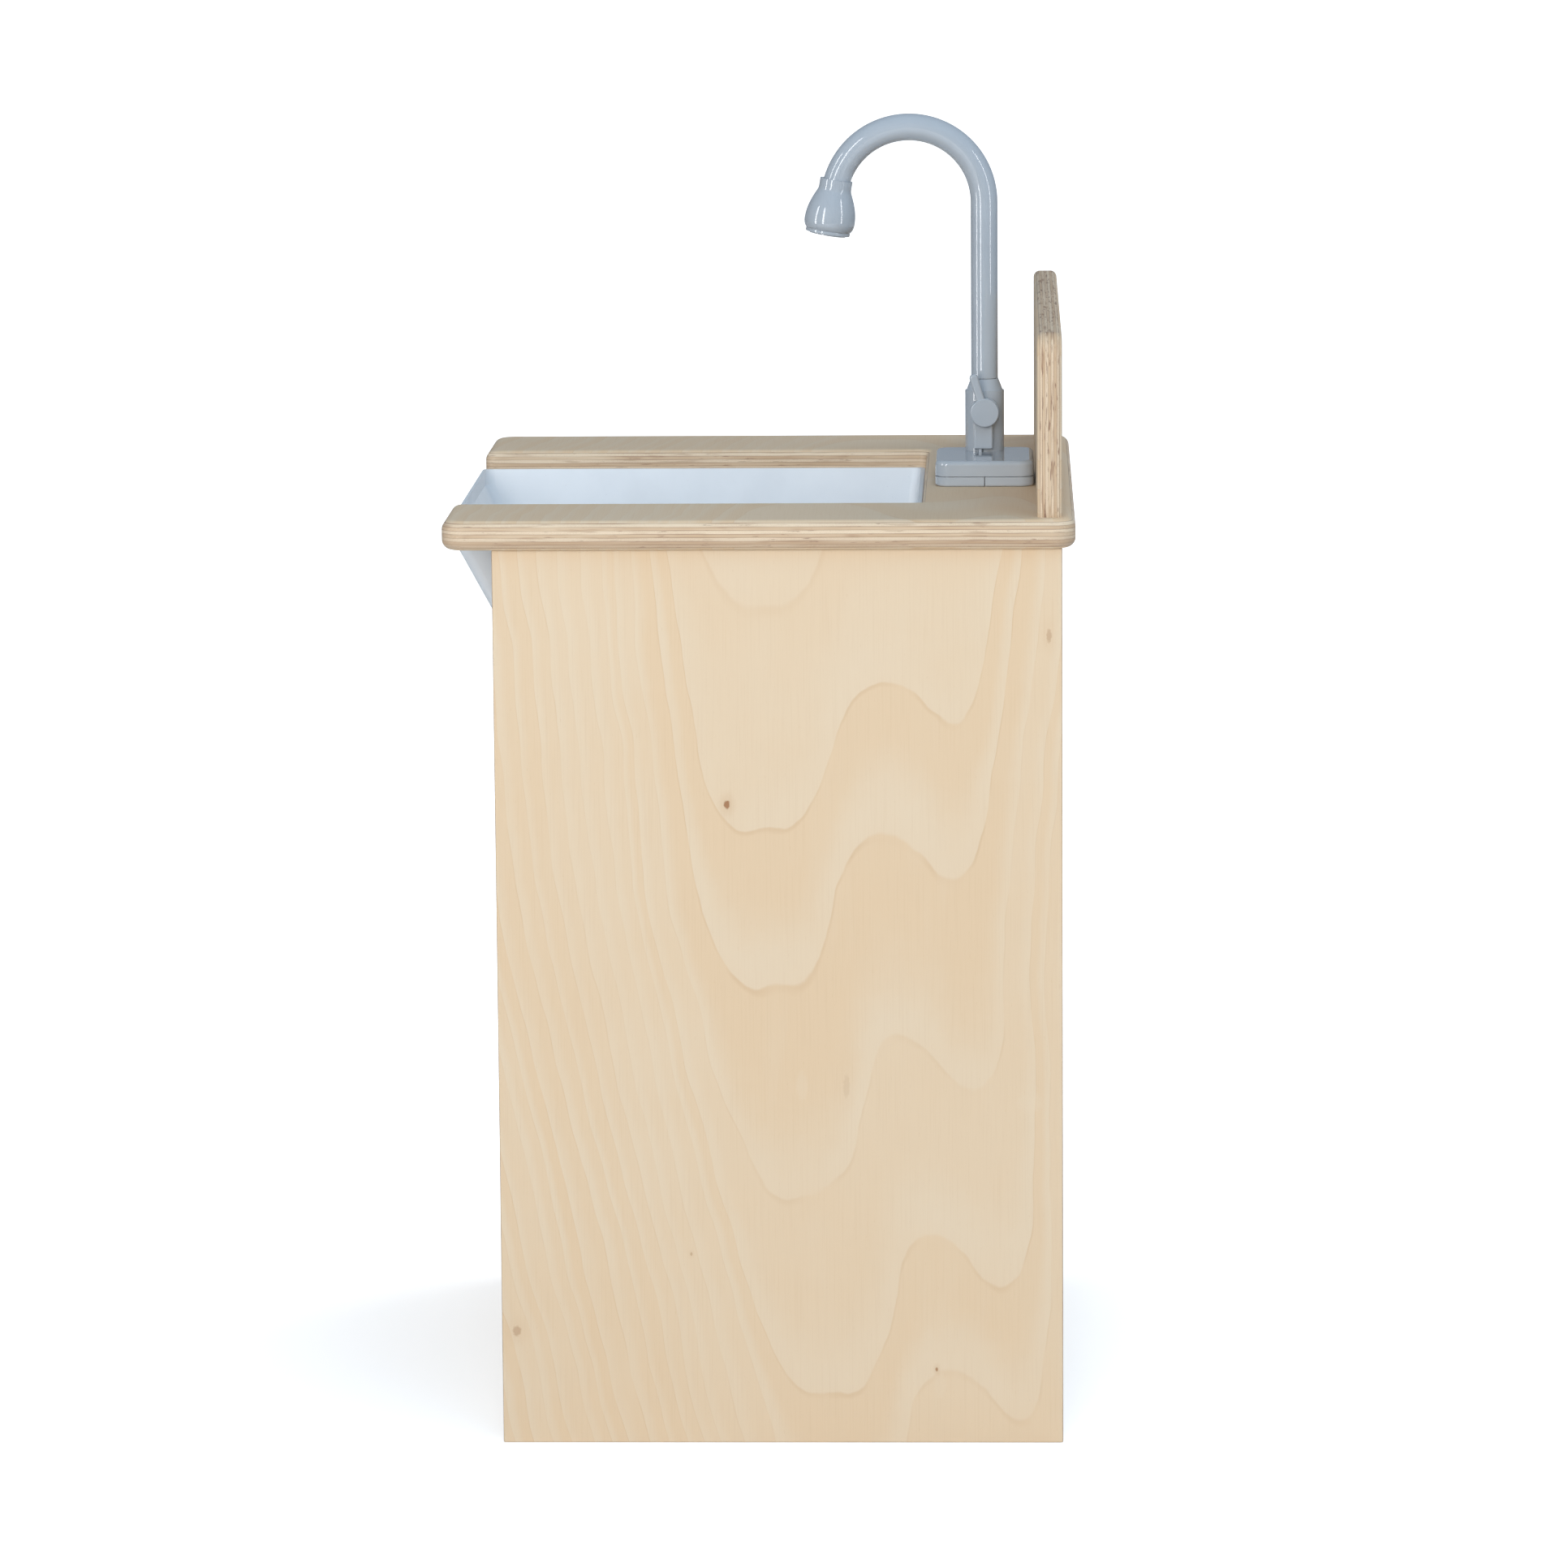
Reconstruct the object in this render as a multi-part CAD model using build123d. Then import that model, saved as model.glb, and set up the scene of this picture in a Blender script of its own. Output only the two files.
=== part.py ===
"""Toddler's play kitchen: plywood cabinet, U-shaped worktop, lift-out basin and a gooseneck tap.

Millimetres, +Z up, the child stands on the -Y side, +X is that child's right-hand side.
The origin is on the floor, below the middle of the worktop.
"""
import os
from math import cos, radians, sin, tan

from build123d import *

# ---- overall sizes ----
TOP_WIDTH = 468.0            # worktop, side to side
TOP_DEPTH = 380.0            # worktop, front to back
WORK_HEIGHT = 568.0          # floor to the worktop's upper face
SIDE_OVERHANG = 8.0          # worktop past each side panel
FRONT_OVERHANG = 30.0        # worktop past the side panels' front edges
REAR_OVERHANG = 8.0          # worktop past the side panels' rear edges

# ---- boards ----
BOARD = 18.0                 # worktop, sides and shelves
SPLASH_BOARD = 15.0          # backsplash
BACK_BOARD = 9.0             # back panel
BACK_INSET = 2.0             # back panel behind the side panels' rear edges
EASED = 1.0                  # broken edges of the cabinet boards
TOP_ROUND = 6.0              # roundover of the worktop, above and below
TOP_CORNER = 14.0            # worktop's outward corners in plan
TIP_CORNER = 6.5             # corners where the arms end beside the cut-out
CUT_CORNER = 5.0             # two inner corners of the basin cut-out in plan
ARM_WIDTH = 93.0             # worktop arm on each side of the basin

# ---- backsplash ----
SPLASH_RISE = 110.0          # above the worktop
SPLASH_END_INSET = 11.0      # from the worktop's side edges
SPLASH_REAR_INSET = 8.0      # from the worktop's rear edge
SPLASH_ROUND = 4.0           # roundover of its edges
SPLASH_CORNER = 12.0         # its two upper corners

# ---- shelves, plinth and battens ----
FLOOR_PANEL_Z = 60.0         # underside of the cabinet's floor
FLOOR_PANEL_SET = 4.0        # its front edge behind the side panels' front edges
SHELF_Z = 250.0              # underside of the shelf
SHELF_SET = 40.0             # its front edge behind the side panels' front edges
PLINTH_SET = 20.0            # plinth behind the side panels' front edges
PLINTH_LIFT = 2.0            # plinth clear of the floor
BATTEN = 18.0                # square battens that carry the worktop
CLEAT_SET = 12.0             # side battens behind the side panels' front edges
RUNNER_WIDTH = 24.0          # battens that carry the basin
RUNNER_HEIGHT = 16.0
RUNNER_LEDGE = 1.8           # how far they show inside the cut-out

# ---- basin ----
BASIN_GAP = 0.5              # basin rim to the cut-out, all round
BASIN_WALL = 2.0
BASIN_DEPTH = 95.0           # rim's underside to the outside of the bottom
RIM_HEIGHT = 6.4
BASIN_FORWARD = 1.6          # its front before the worktop's front edge
RIM_WIDTH = 1.0              # rim outside the basin's wall, at the sides and rear
RIM_ROUND = 0.8
BAND_DROP = 3.3              # upright band of the front wall, below the rim
APRON_LEAN = 27.0            # front wall, degrees from upright
SIDE_LEAN = 12.0
REAR_LEAN = 6.0
BASIN_CORNER = 8.0           # upright corners of the basin
BASIN_FOOT_ROUND = 6.0       # where the walls meet the bottom
REST_GAP = 0.3               # under the rim, so that it lifts freely

# ---- tap base ----
BASE_WIDTH = 81.5            # side to side
BASE_DEPTH = 61.0            # front to back
BASE_PLATE = 6.5             # two plates under the cover
BASE_COVER = 9.5
BASE_CORNER = 9.0
BASE_ROUND = 2.8             # cover's upper edge
BASE_FOOT_ROUND = 1.5        # plates' lower edge
BASE_WALL = 2.0
BASE_SEAM = 0.5              # height of the open seam between plates and cover
SEAM_DEPTH = 1.5
PLATE_SPLIT = 0.5            # between the two plates
BASE_LEFT_OF_TAP = 15.5      # base edge to the tap's axis, towards -X
BASE_TO_SPLASH = 1.3
BASE_TO_CUT = 7.7

# ---- tap body ----
BODY_RADIUS = 12.2
BODY_HEIGHT = 37.7           # cover to the foot of the cone
CONE_HEIGHT = 7.3
CONE_TOP_RADIUS = 8.6
SHOULDER = 0.8               # small step at the foot of the cone
SOCKET_DEPTH = 26.0          # close bore for the spout's spigot, from the top
CAVITY_RADIUS = 8.6          # wider bore below it
STEM_RADIUS = 10.6           # part of the body that passes through the cover
STEM_LENGTH = 6.0
NUT_RADIUS = 13.0
NUT_HEIGHT = 3.4

# ---- spout ----
TUBE_RADIUS = 8.4
TUBE_WALL = 1.6
SPOUT_RISE = 110.2           # joint line to the centre of the bend
BEND_RADIUS = 47.0
BEND_SHORT = 9.8             # degrees by which the bend stops short of a half turn
JOINT_GAP = 0.35             # between the cone and the tube
SPOUT_PLUG = 4.0             # closed foot of the tube, round the spigot
SPIGOT_RADIUS = 6.5
SPIGOT_BORE = 3.5
SPIGOT_LENGTH = 32.0
RUNNING_CLEARANCE = 0.05     # radial, spigot in its socket and shaft in its bore
CLIP_RADIUS = 8.0
CLIP_GROOVE = 5.3
CLIP_HEIGHT = 1.2
CLIP_BELOW_SOCKET = 0.4
SEAL_SECTION = 0.75
SEAL_DROP = 8.0              # joint line to the seal

# ---- nozzle, along its own axis from the top of the collar ----
NOZZLE_GRIP = 6.5            # how far the collar reaches up over the tube's end
COLLAR_RADIUS = 10.2
COLLAR_LENGTH = 5.0
THROAT_RADIUS = 11.2
THROAT_AT = 8.6
FLARE_RADIUS = 14.2
FLARE_AT = 16.0
BULB_RADIUS = 15.8
BULB_AT = 25.0
BULB_END_RADIUS = 13.9
BULB_LENGTH = 31.8
RING_RADIUS = 13.9
RING_ROUND = 0.5
RING_HEIGHT = 2.3
RING_LIP = 0.7
LIP_RADIUS = 11.3
NOZZLE_WALL = 1.6
PLATE_THICK = 1.4
PLATE_HOLE = 0.9

# ---- lever ----
LEVER_HEIGHT = 25.2          # its pivot above the cover
HOUSING_WIDTH = 12.0
HOUSING_FACE = 17.0          # outer face of the housing from the tap's axis
HOUSING_FORWARD = 0.9        # its middle in front of the tap's axis
HOUSING_FOOT = 2.0           # its lower end above the cover
HOUSING_ROUND = 1.2
HOUSING_BOSS = 9.3           # its round part behind the dial
PEG_RADIUS = 1.1
PEG_FORWARD = 2.7
DIAL_RADIUS = 8.9
DIAL_THICK = 4.4
DIAL_GAP = 0.4
DIAL_ROUND = 0.8
ARM_LENGTH = 22.5            # pivot to the centre of the arm's round end
ARM_BREADTH = 5.4
ARM_THICK = 3.6
ARM_ROUND = 1.5
ARM_LEAN = 17.3              # towards the front, degrees from upright
SHAFT_RADIUS = 2.0
SHAFT_INSIDE = 9.0           # inner end of its bore from the tap's axis
SHAFT_END_GAP = 0.5
SHAFT_SEAL = 0.4             # section of the seal on the shaft

# ---- fasteners ----
DOWEL_RADIUS = 4.0
DOWEL_LENGTH = 30.0
DOWEL_IN_SIDE = 12.0
CAM_RADIUS = 7.5
CAM_HEIGHT = 12.5
CAM_REACH = 24.0             # cam's centre from the end of its board
CAM_BOLT_RADIUS = 2.5
CAM_BOLT_IN_SIDE = 11.0
CAM_SLOT = 1.2
SCREW_RADIUS = 2.0
SCREW_HEAD = 3.8
HEAD_HEIGHT = 2.2
RECESS_WIDTH = 0.9
RECESS_REACH = 4.4
RECESS_DEPTH = 1.1
BATTEN_SCREW = 28.0
RUNNER_SCREW = 26.0
SPLASH_SCREW = 40.0
BACK_SCREW = 25.0
TAP_SCREW = BOARD + 5.0
COVER_SCREW = 12.0
COVER_SCREW_RADIUS = 1.3
COVER_SCREW_HEAD = 2.4
BOSS_RADIUS = 3.2
SCREW_ROW = (-0.36, 0.02, 0.36)      # where screws stand along a side batten, as shares of it
RISER_ROW = (-0.18, 0.2)             # and where the upright ones stand between them

# ---- places worked out from the sizes ----
top_under = WORK_HEIGHT - BOARD
top_front = -TOP_DEPTH / 2
top_rear = TOP_DEPTH / 2
side_out = TOP_WIDTH / 2 - SIDE_OVERHANG
side_in = side_out - BOARD
body_front = top_front + FRONT_OVERHANG
body_rear = top_rear - REAR_OVERHANG
back_out = body_rear - BACK_INSET
back_in = back_out - BACK_BOARD
splash_rear = top_rear - SPLASH_REAR_INSET
splash_front = splash_rear - SPLASH_BOARD
tap_y = splash_front - BASE_TO_SPLASH - BASE_DEPTH / 2
cut_half = TOP_WIDTH / 2 - ARM_WIDTH
cut_rear = tap_y - BASE_DEPTH / 2 - BASE_TO_CUT
cleat_front = body_front + CLEAT_SET
rail_front = back_in - BATTEN
cleat_middle = (cleat_front + rail_front) / 2
cleat_length = rail_front - cleat_front
basin_front = top_front - BASIN_FORWARD
rim_under = top_under + REST_GAP
rim_top = rim_under + RIM_HEIGHT
basin_band = rim_under - BAND_DROP
runner_in = cut_half - RUNNER_LEDGE
runner_rear = cut_rear - RUNNER_LEDGE + RUNNER_WIDTH
base_x = BASE_WIDTH / 2 - BASE_LEFT_OF_TAP
plate_top = WORK_HEIGHT + BASE_PLATE
cover_top = plate_top + BASE_COVER
cone_foot = cover_top + BODY_HEIGHT
body_top = cone_foot + CONE_HEIGHT
joint_z = body_top + JOINT_GAP
socket_foot = body_top - SOCKET_DEPTH
lever_z = cover_top + LEVER_HEIGHT


# ---- helpers ----
def block(x, y, z):
    """Box between two limits on each axis."""
    size = (x[1] - x[0], y[1] - y[0], z[1] - z[0])
    return Pos((x[0] + x[1]) / 2, (y[0] + y[1]) / 2, (z[0] + z[1]) / 2) * Box(*size)


def upright(radius, low, high, x=0.0, y=0.0):
    """Vertical cylinder between two heights."""
    return Pos(x, y, (low + high) / 2) * Cylinder(radius, high - low)


def aimed(shape, point, direction):
    """Shape drawn along +Z from the origin, put at a point and aimed along a direction."""
    return Plane(origin=point, z_dir=direction).location * shape


def screw(length, radius=SCREW_RADIUS, head=SCREW_HEAD):
    """Countersunk screw along +Z, the flat of its head at the origin, with a cross recess."""
    body = Pos(0, 0, HEAD_HEIGHT / 2) * Cone(head, radius, HEAD_HEIGHT)
    body += upright(radius, HEAD_HEIGHT, length)
    reach = RECESS_REACH * head / SCREW_HEAD
    for size in ((reach, RECESS_WIDTH), (RECESS_WIDTH, reach)):
        body -= Pos(0, 0, RECESS_DEPTH / 2) * Box(*size, RECESS_DEPTH)
    return body


def places(points, direction):
    """Where a row of fasteners stands, all aimed one way."""
    return [Plane(origin=point, z_dir=direction).location for point in points]


def row(shape, spots):
    """One shape repeated at each place."""
    return [spot * shape for spot in spots]


def less(shape, *groups):
    """Shape with every member of some groups cut from it."""
    cutters = [piece for group in groups for piece in group]
    return shape - cutters


def eased(shape):
    """Board with all its edges broken."""
    return fillet(shape.edges(), EASED)


# ---- fasteners ----
def board_joint_rows():
    """Y and Z of the dowels and of the cam bolts where each board meets the side panels."""
    floor_z = FLOOR_PANEL_Z + BOARD / 2
    shelf_z = SHELF_Z + BOARD / 2
    floor_front = body_front + FLOOR_PANEL_SET
    shelf_front = body_front + SHELF_SET
    dowels, cams = [], []
    for front, z in ((floor_front, floor_z), (shelf_front, shelf_z)):
        span = back_in - front
        dowels += [(front + span * share, z) for share in (0.28, 0.72)]
        cams += [(front + span * share, z) for share in (0.15, 0.85)]
    plinth_y = body_front + PLINTH_SET + BOARD / 2
    plinth_span = FLOOR_PANEL_Z - PLINTH_LIFT
    dowels += [(plinth_y, PLINTH_LIFT + plinth_span * share) for share in (0.3, 0.75)]
    return dowels, cams


def panel_dowels():
    pin = chamfer(Cylinder(DOWEL_RADIUS, DOWEL_LENGTH).edges(), EASED)
    middle = side_in + DOWEL_IN_SIDE - DOWEL_LENGTH / 2
    points = [(side * middle, y, z) for side in (-1, 1) for y, z in board_joint_rows()[0]]
    return row(pin, places(points, (1, 0, 0)))


def cam_bolts():
    length = CAM_REACH + CAM_BOLT_IN_SIDE
    pin = upright(CAM_BOLT_RADIUS, 0, length)
    pins = []
    for y, z in board_joint_rows()[1]:
        for side in (-1, 1):
            start = side * (side_in - CAM_REACH)
            pins.append(aimed(pin, (start, y, z), (side, 0, 0)))
    return pins


def cam_locks():
    """Turning discs let into each board's underside, that hold the cam bolts' ends."""
    disc = upright(CAM_RADIUS, 0, CAM_HEIGHT)
    for size in ((RECESS_REACH, CAM_SLOT), (CAM_SLOT, RECESS_REACH)):
        disc -= Pos(0, 0, RECESS_DEPTH / 2) * Box(*size, RECESS_DEPTH)
    discs = []
    for y, z in board_joint_rows()[1]:
        for side in (-1, 1):
            discs.append(Pos(side * (side_in - CAM_REACH), y, z - BOARD / 2) * disc)
    return [disc - cam_bolts() for disc in discs]


def cleat_screw_places():
    spots = []
    for side in (-1, 1):
        points = [(side * (side_in - BATTEN), cleat_middle + share * cleat_length, top_under - BATTEN / 2)
                  for share in SCREW_ROW]
        spots += places(points, (side, 0, 0))
    return spots


def worktop_screw_places():
    low = top_under - BATTEN
    points = [(side * (side_in - BATTEN / 2), cleat_middle + share * cleat_length, low)
              for side in (-1, 1) for share in RISER_ROW]
    points += [(side * side_in / 2, rail_front + BATTEN / 2, low) for side in (-1, 1)]
    return places(points, (0, 0, 1))


def runner_screw_places():
    low = top_under - RUNNER_HEIGHT
    middle = (cleat_front + runner_rear) / 2
    span = runner_rear - cleat_front
    points = [(side * (runner_in + RUNNER_WIDTH * 2 / 3), middle + share * span, low)
              for side in (-1, 1) for share in SCREW_ROW]
    points += [(side * runner_in / 2, runner_rear - RUNNER_WIDTH / 3, low) for side in (-1, 1)]
    return places(points, (0, 0, 1))


def splash_screw_places():
    reach = TOP_WIDTH / 3
    y = (splash_front + splash_rear) / 2
    return places([(x, y, top_under) for x in (-reach, 0, reach)], (0, 0, 1))


def back_screw_places():
    heights = (FLOOR_PANEL_Z + BOARD / 2, SHELF_Z + BOARD / 2, top_under - BATTEN / 2)
    reach = side_in * 3 / 4
    return places([(x, back_out, z) for z in heights for x in (-reach, 0, reach)], (0, -1, 0))


def tap_screw_places():
    """Four screws that come up through the worktop into the tap's base plates."""
    points = [(base_x + x * BASE_WIDTH * 0.29, tap_y + y * BASE_DEPTH * 0.21, top_under)
              for x in (-1, 1) for y in (-1, 1)]
    return places(points, (0, 0, 1))


def cover_screw_places():
    """Four screws that hold the base's cover down on its plates."""
    inset = BASE_CORNER - 1.0
    points = [(base_x + x * (BASE_WIDTH / 2 - inset), tap_y + y * (BASE_DEPTH / 2 - inset), WORK_HEIGHT)
              for x in (-1, 1) for y in (-1, 1)]
    return places(points, (0, 0, 1))


def screws(spots, length, radius=SCREW_RADIUS, head=SCREW_HEAD):
    return row(screw(length, radius, head), spots)


def holes(spots, length, radius=SCREW_RADIUS, head=SCREW_HEAD):
    """Countersunk holes of exactly the screws' size."""
    plain = Pos(0, 0, HEAD_HEIGHT / 2) * Cone(head, radius, HEAD_HEIGHT)
    plain += upright(radius, HEAD_HEIGHT, length)
    return row(plain, spots)


# ---- cabinet ----
def side_panel(side):
    x = sorted((side * side_in, side * side_out))
    panel = eased(block(x, (body_front, body_rear), (0, top_under)))
    return less(panel, panel_dowels(), cam_bolts(), holes(cleat_screw_places(), BATTEN_SCREW))


def level_board(z, set_back):
    board = eased(block((-side_in, side_in), (body_front + set_back, back_in), (z, z + BOARD)))
    cams = [upright(CAM_RADIUS, z, z + CAM_HEIGHT, side * (side_in - CAM_REACH), y)
            for y, height in board_joint_rows()[1] if z < height < z + BOARD for side in (-1, 1)]
    return less(board, panel_dowels(), cam_bolts(), cams, holes(back_screw_places(), BACK_SCREW))


def plinth():
    y = body_front + PLINTH_SET
    board = eased(block((-side_in, side_in), (y, y + BOARD), (PLINTH_LIFT, FLOOR_PANEL_Z)))
    return less(board, panel_dowels())


def back_panel():
    board = eased(block((-side_in, side_in), (back_in, back_out), (FLOOR_PANEL_Z, top_under)))
    return less(board, holes(back_screw_places(), BACK_SCREW))


def top_cleat(side):
    x = sorted((side * (side_in - BATTEN), side * side_in))
    batten = eased(block(x, (cleat_front, rail_front), (top_under - BATTEN, top_under)))
    return less(batten, holes(cleat_screw_places(), BATTEN_SCREW), holes(worktop_screw_places(), BATTEN_SCREW))


def rear_top_rail():
    batten = eased(block((-side_in, side_in), (rail_front, back_in), (top_under - BATTEN, top_under)))
    return less(batten, holes(worktop_screw_places(), BATTEN_SCREW), holes(back_screw_places(), BACK_SCREW))


def side_runner(side):
    x = sorted((side * runner_in, side * (runner_in + RUNNER_WIDTH)))
    batten = eased(block(x, (cleat_front, runner_rear), (top_under - RUNNER_HEIGHT, top_under)))
    return less(batten, holes(runner_screw_places(), RUNNER_SCREW))


def rear_runner():
    y = (runner_rear - RUNNER_WIDTH, runner_rear)
    batten = eased(block((-runner_in, runner_in), y, (top_under - RUNNER_HEIGHT, top_under)))
    return less(batten, holes(runner_screw_places(), RUNNER_SCREW))


def worktop():
    """Board with its cut-out open to the front, and all its edges rounded over."""
    plan = Rectangle(TOP_WIDTH, TOP_DEPTH)
    plan -= Pos(0, (top_front + cut_rear) / 2) * Rectangle(2 * cut_half, cut_rear - top_front)
    inward = plan.vertices().filter_by_position(Axis.X, -cut_half - 1, cut_half + 1)
    plan = fillet(inward.sort_by(Axis.Y)[-2:], CUT_CORNER)
    outward = plan.vertices().filter_by(lambda corner: abs(abs(corner.X) - TOP_WIDTH / 2) < 1)
    plan = fillet(outward, TOP_CORNER)
    tips = plan.vertices().filter_by(lambda corner: corner.Y < top_front + 1 and abs(corner.X) < cut_half + 1)
    plan = fillet(tips, TIP_CORNER)
    board = Pos(0, 0, top_under) * extrude(plan, BOARD)
    rims = board.faces().sort_by(Axis.Z)[-1].edges() + board.faces().sort_by(Axis.Z)[0].edges()
    board = fillet(rims, TOP_ROUND)
    return less(board, holes(worktop_screw_places(), BATTEN_SCREW), holes(runner_screw_places(), RUNNER_SCREW),
                holes(splash_screw_places(), SPLASH_SCREW), holes(tap_screw_places(), TAP_SCREW))


def backsplash():
    """Upright board with rounded upper corners and rounded edges, flat on its lower edge."""
    half = TOP_WIDTH / 2 - SPLASH_END_INSET
    board = block((-half, half), (splash_front, splash_rear), (WORK_HEIGHT, WORK_HEIGHT + SPLASH_RISE))
    corners = board.edges().filter_by(Axis.Y).sort_by(Axis.Z)[-2:]
    board = fillet(corners, SPLASH_CORNER)
    faces = board.faces().sort_by(Axis.Y)
    rims = [e for face in (faces[0], faces[-1]) for e in face.edges() if e.center().Z > WORK_HEIGHT + 1]
    board = fillet(rims, SPLASH_ROUND)
    return less(board, holes(splash_screw_places(), SPLASH_SCREW))


# ---- basin ----
def basin_wall(z, inward=0.0):
    """Outline of the tub at one height, moved inwards by a wall's thickness."""
    edge = BASIN_GAP + RIM_WIDTH + inward
    front = basin_front + max(0.0, basin_band - z) * tan(radians(APRON_LEAN)) + inward
    rear = cut_rear - edge - (rim_top - z) * tan(radians(REAR_LEAN))
    half = cut_half - edge - (rim_top - z) * tan(radians(SIDE_LEAN))
    return Pos(0, (front + rear) / 2, z) * RectangleRounded(2 * half, rear - front, BASIN_CORNER - inward)


def basin_block(foot, top, inward, foot_round):
    """Tapered block with an upright band at its front and a rounded foot."""
    block_below = loft([basin_wall(basin_band, inward), basin_wall(foot, inward)])
    block_below = fillet(block_below.faces().sort_by(Axis.Z)[0].edges(), foot_round)
    return block_below + loft([basin_wall(top, inward), basin_wall(basin_band, inward)])


def basin():
    """Tub with a sloping front, and a rim that rests on the runners at the sides and rear."""
    foot = rim_under - BASIN_DEPTH
    depth = cut_rear - BASIN_GAP - basin_front
    half = cut_half - BASIN_GAP
    rim = Pos(0, basin_front + depth / 2, rim_under) * RectangleRounded(2 * half, depth, CUT_CORNER - BASIN_GAP)
    rim = fillet(extrude(rim, RIM_HEIGHT).faces().sort_by(Axis.Z)[-1].edges(), RIM_ROUND)
    apron = block((-half, half), (basin_front, basin_front + BASIN_WALL), (basin_band, rim_under))
    apron = fillet(apron.edges().filter_by(Axis.Z).sort_by(Axis.Y)[:2], BASIN_WALL - RIM_ROUND)
    tub = basin_block(foot, rim_under, 0, BASIN_FOOT_ROUND)
    hollow = basin_block(foot + BASIN_WALL, rim_top, BASIN_WALL, BASIN_FOOT_ROUND - BASIN_WALL)
    return tub + rim + apron - hollow


# ---- tap base ----
def base_plan(z, inward=0.0):
    corner = BASE_CORNER - inward
    return Pos(base_x, tap_y, z) * RectangleRounded(BASE_WIDTH - 2 * inward, BASE_DEPTH - 2 * inward, corner)


def base_plate(side):
    """One of the two plates under the cover, split along the tap's middle."""
    plate = extrude(base_plan(WORK_HEIGHT), BASE_PLATE)
    plate = fillet(plate.faces().sort_by(Axis.Z)[0].edges(), BASE_FOOT_ROUND)
    seam = plate_top - BASE_SEAM
    plate -= extrude(base_plan(seam), BASE_SEAM) - extrude(base_plan(seam, SEAM_DEPTH), BASE_SEAM)
    reach = BASE_DEPTH
    y = sorted((tap_y - side * reach, tap_y + side * PLATE_SPLIT / 2))
    other = block((base_x - BASE_WIDTH, base_x + BASE_WIDTH), y, (WORK_HEIGHT - 1, plate_top + 1))
    return less(plate - other, holes(tap_screw_places(), TAP_SCREW),
                holes(cover_screw_places(), COVER_SCREW, COVER_SCREW_RADIUS, COVER_SCREW_HEAD))


def base_cover():
    """Shell with a rounded upper edge and four screw bosses inside."""
    cover = extrude(base_plan(plate_top), BASE_COVER)
    cover = fillet(cover.faces().sort_by(Axis.Z)[-1].edges(), BASE_ROUND)
    hollow = extrude(base_plan(plate_top, BASE_WALL), BASE_COVER - BASE_WALL)
    bosses = [spot * upright(BOSS_RADIUS, BASE_PLATE, BASE_PLATE + BASE_COVER - BASE_WALL)
              for spot in cover_screw_places()]
    cover = cover - less(hollow, bosses)
    cover -= upright(STEM_RADIUS, plate_top, cover_top, 0, tap_y)
    return less(cover, holes(cover_screw_places(), COVER_SCREW, COVER_SCREW_RADIUS, COVER_SCREW_HEAD))


# ---- tap body ----
def tap_body():
    """Upright barrel with a cone on top, bored for the spout, and a stem through the cover."""
    body = upright(BODY_RADIUS, cover_top, cone_foot, 0, tap_y)
    body += upright(STEM_RADIUS, cover_top - STEM_LENGTH, cover_top, 0, tap_y)
    cone = Cone(BODY_RADIUS - SHOULDER, CONE_TOP_RADIUS, CONE_HEIGHT)
    body += Pos(0, tap_y, cone_foot + CONE_HEIGHT / 2) * cone
    body -= upright(SPIGOT_RADIUS + RUNNING_CLEARANCE, socket_foot, body_top, 0, tap_y)
    body -= upright(CAVITY_RADIUS, cover_top - STEM_LENGTH, socket_foot, 0, tap_y)
    return body - lever_bore()


def body_nut():
    """Ring nut on the stem, under the cover's top."""
    under = cover_top - BASE_WALL
    ring = upright(NUT_RADIUS, under - NUT_HEIGHT, under, 0, tap_y)
    return ring - upright(STEM_RADIUS, under - NUT_HEIGHT, under, 0, tap_y)


# ---- lever ----
def lever_frame(x):
    """Place on the lever's axis: drawn +Z points along +X, drawn +Y points up."""
    return Location((x, tap_y, lever_z)) * Rotation(0, 90, 0) * Rotation(0, 0, 90)


def lever_bore():
    length = HOUSING_FACE - SHAFT_INSIDE
    return lever_frame(SHAFT_INSIDE) * upright(SHAFT_RADIUS + RUNNING_CLEARANCE, 0, length)


def lever_housing():
    """Upright block on the barrel's side with a round boss behind the dial and a peg below."""
    foot = cover_top + HOUSING_FOOT
    middle = tap_y - HOUSING_FORWARD
    y = (middle - HOUSING_WIDTH / 2, middle + HOUSING_WIDTH / 2)
    housing = block((0, HOUSING_FACE), y, (foot, lever_z))
    low_edges = housing.edges().filter_by(Axis.X).sort_by(Axis.Z)[:2]
    face_edges = housing.faces().sort_by(Axis.X)[-1].edges().sort_by(Axis.Z)[:-1]
    housing = fillet(low_edges + face_edges, HOUSING_ROUND)
    housing += lever_frame(0) * upright(HOUSING_BOSS, 0, HOUSING_FACE)
    housing += upright(PEG_RADIUS, cover_top, foot + 1, HOUSING_FACE - 2 * PEG_RADIUS, tap_y - PEG_FORWARD)
    housing -= upright(BODY_RADIUS, cover_top - 1, body_top, 0, tap_y)
    return housing - lever_bore()


def lever_arm():
    """Dial with a short rounded arm that leans towards the front."""
    dial = extrude(Circle(DIAL_RADIUS), DIAL_THICK)
    dial = fillet(dial.edges().sort_by(Axis.Z)[-1], DIAL_ROUND)
    bar = Pos(0, ARM_LENGTH / 2) * SlotCenterToCenter(ARM_LENGTH, ARM_BREADTH, rotation=90)
    arm = extrude(bar, ARM_THICK)
    arm = fillet(arm.faces().sort_by(Axis.Z)[-1].edges(), ARM_ROUND)
    lever = dial + Rotation(0, 0, ARM_LEAN) * arm
    lever -= upright(SHAFT_RADIUS, 0, DIAL_THICK / 2)
    return lever_frame(HOUSING_FACE + DIAL_GAP) * lever


def shaft_start():
    return SHAFT_INSIDE + SHAFT_END_GAP


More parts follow.
